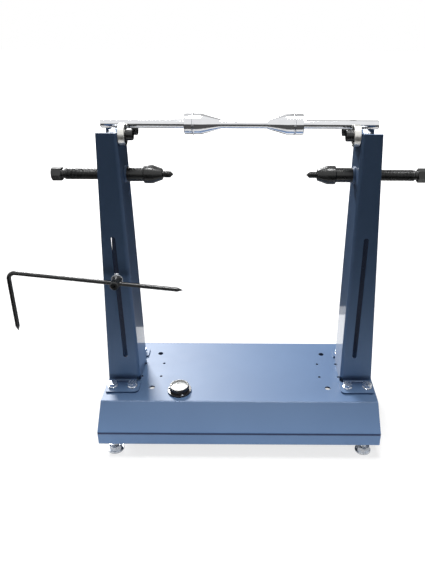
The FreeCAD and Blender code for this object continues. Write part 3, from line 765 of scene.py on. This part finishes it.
def add_lamp(name, place, target, size, power, shown):
    data = bpy.data.lights.new(name, "AREA")
    data.shape = "RECTANGLE"
    data.size, data.size_y = size
    data.energy = getattr(studio(), power)
    lamp = bpy.data.objects.new(name, data)
    lamp.location = place
    lamp.rotation_euler = (Vector(target) - Vector(place)).to_track_quat("-Z", "Y").to_euler()
    lamp.visible_camera = shown
    lamp.visible_glossy = shown
    bpy.context.collection.objects.link(lamp)


def add_flag(name, place, size, upright, seen_by, glow):
    """A dark or glowing board that only "diffuse" or only "glossy" rays see. It throws no shadow."""
    bpy.ops.mesh.primitive_grid_add(x_subdivisions=2, y_subdivisions=2, size=1)
    flag = bpy.context.object
    flag.scale = (*size, 1)
    if upright:
        flag.rotation_euler = (math.radians(90), 0, 0)
    flag.location = place
    material, _, body = shader(name)
    body.inputs["Base Color"].default_value = (0.01, 0.01, 0.01, 1.0)
    body.inputs["Roughness"].default_value = 1.0
    body.inputs["Specular IOR Level"].default_value = 0.0
    body.inputs["Emission Color"].default_value = WHITE
    body.inputs["Emission Strength"].default_value = glow
    flag.data.materials.append(material)
    settle(flag, name)
    flag.visible_camera = False
    flag.visible_diffuse = seen_by == "diffuse"
    flag.visible_glossy = seen_by == "glossy"
    flag.visible_shadow = False
    flag.visible_transmission = False


def add_lamps():
    for lamp in LAMPS:
        add_lamp(*lamp)
    for flag in FLAGS:
        add_flag(*flag)


class BALANCER_OT_finishes(bpy.types.Operator):
    """Gives every CAD part its painted, plated, ground or moulded finish"""

    bl_idname = "balancer.finishes"
    bl_label = "Finishes"

    def execute(self, context):
        make_finishes()
        for row in frame["record"]["subparts"]:
            node = frame["nodes"].get(row["node"])
            if node is None:
                raise RuntimeError(f"there is no part named {row['node']}")
            node.data.materials.clear()
            node.data.materials.append(FINISHES[row["material_slot"]])
        return {"FINISHED"}


class BALANCER_OT_folded_sheets(bpy.types.Operator):
    """Makes the base and the two posts with softened cut edges"""

    bl_idname = "balancer.folded_sheets"
    bl_label = "Base and posts"

    def execute(self, context):
        for node in ("base_plate", "left_post", "right_post"):
            piece = node_copy(node, f"{node}_sheet")
            round_edges(piece, sizes().edge_round)
            dress(piece, "stand", "navy_paint", FINISHES["navy_paint"], node)
        return {"FINISHED"}


def stand_in(piece, node):
    """Puts a finished copy in its CAD node's place, with the node's body and finish."""
    slot = slot_of(node)
    return dress(piece, body_of(node), slot, FINISHES[slot], node)


class BALANCER_OT_softened(bpy.types.Operator):
    """Softens the corners of the nuts, washers, cones, collars, bushes and foot pads"""

    bl_idname = "balancer.softened"
    bl_label = "Softened corners"

    def execute(self, context):
        shared = ("post_nuts", "post_washers", "bearing_lock_nuts", "foot_lock_nuts", "foot_weld_nuts")
        pads = [f"{end}_{side}_foot_pad" for end in ENDS for side in SIDES]
        turned_parts = [
            f"{side}_{part}" for side in SIDES for part in ("spindle_bush", "spindle_cone", "cone", "collar")
        ]
        for node in (*shared, *pads, *turned_parts, "level_housing"):
            piece = node_copy(node, f"{node}_finished")
            round_edges(piece, sizes().corner_round)
            stand_in(piece, node)
        return {"FINISHED"}


def threaded(node, axis, *threads):
    """Stands a copy with cut threads in for a CAD node. Each thread is (size, pitch)."""
    piece = node_copy(node, f"{node}_threaded")
    parts = []
    for part in loose_parts(piece):
        round_edges(part, sizes().corner_round)
        for thread in threads:
            part = cut_thread(part, axis, *thread)
        parts.append(part)
    stand_in(joined(parts, f"{node}_threaded"), node)


class BALANCER_OT_threads(bpy.types.Operator):
    """Cuts the threads of the spindles, the bolts, the cap screws, the clamp and the feet"""

    bl_idname = "balancer.threads"
    bl_label = "Threads"

    def execute(self, context):
        s = sizes()
        for side in SIDES:
            threaded(f"{side}_spindle", 0, (16 * MM, s.thread_16), (10 * MM, s.thread_10))
        threaded("post_bolts", 2, (8 * MM, s.thread_8))
        threaded("bearing_screws", 0, (10 * MM, s.thread_10))
        threaded("pointer_clamp", 1, (6 * MM, s.thread_6))
        for end in ENDS:
            for side in SIDES:
                threaded(f"{end}_{side}_foot_stud", 2, (10 * MM, s.thread_10))
        return {"FINISHED"}


def moved_copy(master, name, place):
    copy = own_copy(master, name)
    copy.location = place
    return settle(copy, name)


class BALANCER_OT_seals(bpy.types.Operator):
    """Makes the grooved rubber seals of the four ball bearings"""

    bl_idname = "balancer.seals"
    bl_label = "Bearing seals"

    def execute(self, context):
        names = [f"{side}_{end}_bearing" for side in SIDES for end in ENDS]
        low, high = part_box(f"{names[0]}_seals")
        outside = (high.z - low.z) / 2
        half = (high.x - low.x) / 2
        bore = 8.1 * MM
        sheet = 0.5 * MM
        groove = sizes().seal_groove
        span = outside - bore
        profile = [           # the groove runs from a quarter to 0.7 of the span
            (-half, bore),
            (-half, bore + 0.25 * span),
            (-half + groove, bore + 0.35 * span),
            (-half + groove, bore + 0.60 * span),
            (-half, bore + 0.70 * span),
            (-half, outside),
            (-half + sheet, outside),
            (-half + sheet, bore),
        ]
        faces = [turned_ring("seal", profile, Vector((0, 0, 0)), 0, sign, 72) for sign in (1, -1)]
        master = joined(faces, "seal_master")
        smooth(master, 25)
        for name in names:
            seals = moved_copy(master, f"{name}_grooved_seals", centre_of(f"{name}_seals"))
            dress(seals, name, "bearing_seal", FINISHES["bearing_seal"], f"{name}_seals")
        bpy.data.objects.remove(master)
        return {"FINISHED"}


class BALANCER_OT_nylon_rings(bpy.types.Operator):
    """Makes the nylon rings in the collars of the bearings' lock nuts"""

    bl_idname = "balancer.nylon_rings"
    bl_label = "Nylon rings"

    def execute(self, context):
        low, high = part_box("bearing_lock_nuts")
        bore = 5.02 * MM
        outside = sizes().nylon_ring / 2
        proud = 0.15 * MM     # how far it stands out of its nut
        deep = 1 * MM         # how far it reaches in
        profile = [(-proud, bore), (-proud, outside - proud), (0, outside), (deep, outside), (deep, bore)]
        rings = []
        for side, sign in SIDES.items():
            for end in ENDS:
                place = centre_of(f"{side}_{end}_bearing_ring")
                place.x = high.x if sign > 0 else low.x
                rings.append(turned_ring("ring", profile, place, 0, -sign, 48))
        rings = joined(rings, "nylon_rings")
        smooth(rings)
        dress(rings, "stand", "white_dial", FINISHES["nylon"])
        return {"FINISHED"}


class BALANCER_OT_welds(bpy.types.Operator):
    """Makes the rippled weld beads that hold the spindle bushes to the posts"""

    bl_idname = "balancer.welds"
    bl_label = "Weld beads"

    def execute(self, context):
        low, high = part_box("right_spindle_bush")
        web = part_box("bearing_spacers")[1].x
        thick = sizes().weld_bead / 2
        ripples = 34
        swell = 1.18
        # the bead's middle line runs just outside the bush, and stands a little proud of the web
        major = (high.z - low.z) / 2 + 0.4 * thick
        centre = Vector((web - 0.3 * thick, 0, (low.z + high.z) / 2))
        bpy.ops.object.select_all(action="DESELECT")
        bpy.ops.mesh.primitive_torus_add(
            location=centre, rotation=(0, math.radians(90), 0), major_radius=major, minor_radius=thick,
            major_segments=3 * ripples, minor_segments=12,
        )
        bead = settle(bpy.context.object, "bead")

        def on_ripple(place, out):
            """True on the bead's section that lies straight out from its centre."""
            away = place - centre
            return away.normalized().dot(out) > 0 and abs(away.cross(out).x) < 0.02 * MM

        for i in range(ripples):
            angle = 2 * math.pi * i / ripples
            out = Vector((0, math.cos(angle), math.sin(angle)))
            pick(bead, lambda place: on_ripple(place, out))
            bpy.ops.transform.resize(value=(swell,) * 3, center_override=centre + out * major)
            done()
        smooth(bead, 60)
        for side, sign in SIDES.items():
            across = 0 if sign > 0 else -2 * centre.x
            piece = moved_copy(bead, f"{side}_weld_bead", (across, 0, 0))
            dress(piece, "stand", "navy_paint", FINISHES["navy_paint"])
        bpy.data.objects.remove(bead)
        return {"FINISHED"}


class BALANCER_OT_level(bpy.types.Operator):
    """Makes the spirit level's vial, its bubble and the ring that is printed on the dial"""

    bl_idname = "balancer.level"
    bl_label = "Spirit level"

    def execute(self, context):
        s = sizes()
        low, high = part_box("level_lens")
        centre = (low + high) / 2
        lift = 0.4 * MM       # of the vial's floor, so that the printed ring and the bubble have room
        print_height = 0.08 * MM
        sink = 0.3 * s.bubble    # of the bubble's middle, under the vial's top
        flat, top = 0.35, 0.6    # how far the bubble is pressed flat, and its upper half once more
        vial = node_copy("level_lens", "level_vial")
        pick(vial, lambda place: place.z < low.z + 0.1 * MM)
        bpy.ops.transform.translate(value=(0, 0, lift))
        done()
        smooth(vial)
        dress(vial, "stand", "clear_lens", FINISHES["clear_lens"], "level_lens")
        outside = s.dial_ring / 2
        inside = outside - s.dial_line
        profile = [(0, inside), (print_height, inside), (print_height, outside), (0, outside)]
        ring = turned_ring("dial_ring", profile, Vector((centre.x, centre.y, low.z)), 2, 1, 64)
        dress(ring, "stand", "white_dial", FINISHES["dial_line"])
        middle = Vector((centre.x, centre.y, high.z - sink))
        bpy.ops.object.select_all(action="DESELECT")
        bpy.ops.mesh.primitive_uv_sphere_add(segments=40, ring_count=16, radius=s.bubble / 2, location=middle)
        bubble = bpy.context.object
        bubble.scale.z = flat
        settle(bubble, "level_bubble")
        pick(bubble, lambda place: place.z > high.z - sink)
        bpy.ops.transform.resize(value=(1, 1, top), center_override=middle)
        done()
        smooth(bubble, 60)
        dress(bubble, "stand", "clear_lens", FINISHES["bubble"])
        return {"FINISHED"}


class BALANCER_PT_panel(bpy.types.Panel):
    """Lists the steps that dress the wheel balancer"""

    bl_idname = "BALANCER_PT_panel"
    bl_label = "Wheel balancer"
    bl_space_type = "VIEW_3D"
    bl_region_type = "UI"
    bl_category = "Balancer"

    def draw(self, context):
        for step in STEPS:
            self.layout.operator(step.bl_idname)
        for name in GROUPS:
            group = getattr(context.scene, name)
            box = self.layout.box()
            for key in group.__annotations__:
                box.prop(group, key)


STEPS = (
    BALANCER_OT_stage,
    BALANCER_OT_finishes,
    BALANCER_OT_folded_sheets,
    BALANCER_OT_softened,
    BALANCER_OT_threads,
    BALANCER_OT_seals,
    BALANCER_OT_nylon_rings,
    BALANCER_OT_welds,
    BALANCER_OT_level,
)
GROUPS = {
    "balancer_colours": BalancerColours,
    "balancer_sizes": BalancerSizes,
    "balancer_studio": BalancerStudio,
}


def register():
    for name, group in GROUPS.items():
        bpy.utils.register_class(group)
        setattr(bpy.types.Scene, name, PointerProperty(type=group))
    for step in (*STEPS, BALANCER_PT_panel):
        bpy.utils.register_class(step)


def unregister():
    for step in reversed((*STEPS, BALANCER_PT_panel)):
        bpy.utils.unregister_class(step)
    for name, group in reversed(GROUPS.items()):
        delattr(bpy.types.Scene, name)
        bpy.utils.unregister_class(group)


def main():
    register()
    for step in STEPS:
        family, name = step.bl_idname.split(".")
        getattr(getattr(bpy.ops, family), name)()
    bpy.context.view_layer.update()
    for ridge in RIDGES.values():
        bpy.data.objects.remove(ridge)


if __name__ == "__main__":
    main()
